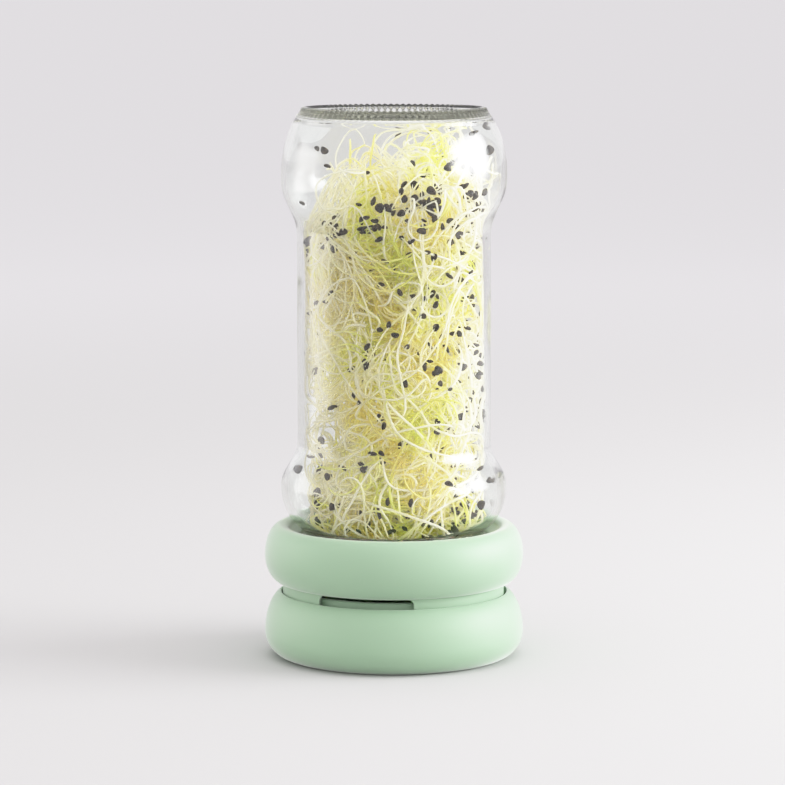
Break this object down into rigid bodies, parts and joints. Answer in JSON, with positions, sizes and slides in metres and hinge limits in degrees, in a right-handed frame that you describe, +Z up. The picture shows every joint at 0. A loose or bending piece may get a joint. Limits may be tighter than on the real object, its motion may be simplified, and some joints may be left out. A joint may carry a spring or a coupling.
{
  "type": "jar of sprouts",
  "caption": "Upside-down glass sprouting jar full of allium sprouts with black seed hulls, screwed into a vented mint-green collar on a matching drip tray.",
  "frame": {"origin": "middle of the drip tray's flat underside, on the axis of the jar", "axes": "+Z up along the jar's axis, from the tray to the jar's closed base; -Y is the front, where a skirt notch shows a little left of the middle; +X is to the right"},
  "size_m": [0.098, 0.098, 0.2075],
  "materials": {
    "jar_glass": "clear pressed soda-lime glass, smooth",
    "collar_silicone": "mint-green moulded silicone, soft matte",
    "tray_silicone": "mint-green moulded silicone, soft matte",
    "strainer_steel": "punched stainless steel sheet",
    "seal_silicone": "translucent white silicone",
    "sprout_tangle": "packed damp sprouts, cream to yellow-green",
    "sprout": "damp, slightly glossy plant stem",
    "seed_hull": "black wrinkled seed coat"
  },
  "bodies": {
    "root": {"glass_jar": "jar_glass", "collar_lid": "collar_silicone", "drip_tray": "tray_silicone", "strainer_disc": "strainer_steel", "seal_ring": "seal_silicone", "sprout_tangle": "sprout_tangle", "sprout_01": "sprout", "sprout_02": "sprout", "sprout_03": "sprout", "sprout_04": "sprout", "sprout_05": "sprout", "sprout_06": "sprout", "sprout_07": "sprout", "sprout_08": "sprout", "sprout_09": "sprout", "sprout_10": "sprout", "sprout_11": "sprout", "sprout_12": "sprout", "sprout_13": "sprout", "sprout_14": "sprout", "sprout_15": "sprout", "sprout_16": "sprout", "sprout_17": "sprout", "sprout_18": "sprout", "sprout_19": "sprout", "sprout_20": "sprout", "sprout_21": "sprout", "sprout_22": "sprout", "sprout_23": "sprout", "sprout_24": "sprout", "sprout_25": "sprout", "sprout_26": "sprout", "sprout_27": "sprout", "sprout_28": "sprout", "sprout_29": "sprout", "sprout_30": "sprout", "seed_hull_01": "seed_hull", "seed_hull_02": "seed_hull", "seed_hull_03": "seed_hull", "seed_hull_04": "seed_hull", "seed_hull_05": "seed_hull", "seed_hull_06": "seed_hull", "seed_hull_07": "seed_hull", "seed_hull_08": "seed_hull"}
  },
  "joints": []
}
